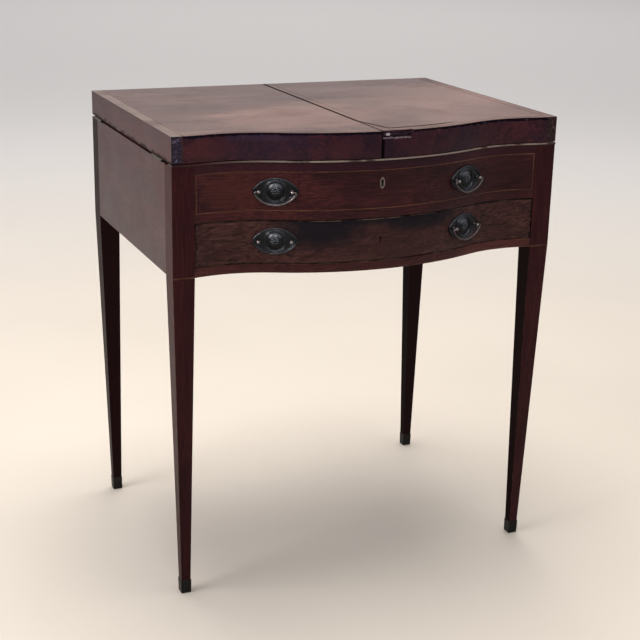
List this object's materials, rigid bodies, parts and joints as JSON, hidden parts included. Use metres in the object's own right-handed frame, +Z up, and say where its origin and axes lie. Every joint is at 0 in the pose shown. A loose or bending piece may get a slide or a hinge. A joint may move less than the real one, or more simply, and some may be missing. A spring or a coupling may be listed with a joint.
{
  "type": "dressing table",
  "caption": "Serpentine-fronted dressing table on tapered legs: a top of hinged leaves over a fitted well with a stored mirror, a false drawer front and a real drawer below.",
  "frame": {"origin": "on the floor, under the middle of the whole table's box", "axes": "+Z up, +Y to the back, +X to the right of someone standing in front of the drawer"},
  "size_m": [0.7378, 0.5756, 0.84],
  "materials": {
    "mahogany": "old waxed mahogany, worn at the edges",
    "top_mahogany": "old polished mahogany, sun-bleached",
    "inside_wood": "bare oak and pine, aged",
    "stringing": "pale stringing, aged",
    "black_caps": "ebonised, semi-gloss",
    "dark_bronze": "stamped brass, tarnished dark",
    "worn_brass": "brass, rubbed and dull",
    "bone": "inlaid bone, yellowed",
    "iron": "bare iron, dark",
    "silvered_glass": "old silvered plate glass"
  },
  "bodies": {
    "case": {"back_left_leg": "mahogany", "back_panel": "inside_wood", "back_right_leg": "mahogany", "cross_partitions": "mahogany", "drawer_rail": "mahogany", "drawer_stops": "inside_wood", "escutcheon": "bone", "fascia_stringing": "stringing", "foot_caps": "black_caps", "front_bead": "mahogany", "front_fascia": "mahogany", "front_left_leg": "mahogany", "front_right_leg": "mahogany", "hinge_case_leaves": "worn_brass", "hinge_case_screws": "iron", "hinge_pins": "iron", "left_drawer_runner": "inside_wood", "left_side_panel": "mahogany", "leg_stringing": "stringing", "lid_lock_case": "iron", "mirror_backboard": "inside_wood", "mirror_frame": "mahogany", "mirror_glass": "silvered_glass", "mirror_pivot_pins": "worn_brass", "mirror_ratchet_racks": "mahogany", "mirror_strut": "mahogany", "right_drawer_runner": "inside_wood", "right_side_panel": "mahogany", "upper_handle_nuts": "worn_brass", "upper_handle_posts": "worn_brass", "upper_left_backplate": "dark_bronze", "upper_right_backplate": "dark_bronze", "well_floor": "inside_wood", "well_partitions": "mahogany"},
    "left_lid": {"left_lid_core": "top_mahogany", "left_lid_front_lipping": "top_mahogany", "left_lid_hinge_leaves": "worn_brass", "left_lid_hinge_screws": "iron", "left_lid_side_cleat": "top_mahogany", "lid_lock_strike_plate": "worn_brass"},
    "right_lid": {"right_lid_core": "top_mahogany", "right_lid_front_lipping": "top_mahogany", "right_lid_hinge_leaves": "worn_brass", "right_lid_hinge_screws": "iron", "right_lid_side_cleat": "top_mahogany"},
    "drawer": {"drawer_back": "inside_wood", "drawer_bottom": "inside_wood", "drawer_front": "mahogany", "drawer_left_side": "inside_wood", "drawer_lock_case": "iron", "drawer_right_side": "inside_wood", "lower_handle_nuts": "worn_brass", "lower_handle_posts": "worn_brass", "lower_left_backplate": "dark_bronze", "lower_right_backplate": "dark_bronze"},
    "upper_left_bail": {"upper_left_bail": "worn_brass"},
    "upper_right_bail": {"upper_right_bail": "worn_brass"},
    "lower_right_bail": {"lower_right_bail": "worn_brass"},
    "lid_lock_bolt": {"lid_lock_bolt": "iron"},
    "drawer_lock_bolt": {"drawer_lock_bolt": "iron"}
  },
  "joints": [
    {"name": "left_lid_hinge", "type": "hinge", "parent": "case", "child": "left_lid", "pos_m": [-0.3665, 0, 0.79225], "axis": [0, -1, 0], "range_deg": [0, 180]},
    {"name": "right_lid_hinge", "type": "hinge", "parent": "case", "child": "right_lid", "pos_m": [0.3665, 0, 0.79225], "axis": [0, 1, 0], "range_deg": [0, 180]},
    {"name": "drawer_slide", "type": "slide", "parent": "case", "child": "drawer", "axis": [0, -1, 0], "range_m": [0, 0.3]},
    {"name": "upper_left_bail_swing", "type": "hinge", "parent": "case", "child": "upper_left_bail", "pos_m": [-0.19124, -0.25769, 0.74125], "axis": [-0.9219, 0.3875, 0], "range_deg": [-8, 95]},
    {"name": "upper_right_bail_swing", "type": "hinge", "parent": "case", "child": "upper_right_bail", "pos_m": [0.17532, -0.26406, 0.74125], "axis": [-0.9348, -0.3553, 0], "range_deg": [-8, 95]},
    {"name": "lower_right_bail_swing", "type": "hinge", "parent": "drawer", "child": "lower_right_bail", "pos_m": [0.17532, -0.26406, 0.655], "axis": [-0.9348, -0.3553, 0], "range_deg": [-8, 95]},
    {"name": "lid_lock_bolt_slide", "type": "slide", "parent": "case", "child": "lid_lock_bolt", "axis": [0, 0, 1], "range_m": [0, 0.009]},
    {"name": "drawer_lock_bolt_slide", "type": "slide", "parent": "drawer", "child": "drawer_lock_bolt", "axis": [0, 0, 1], "range_m": [0, 0.005]}
  ]
}
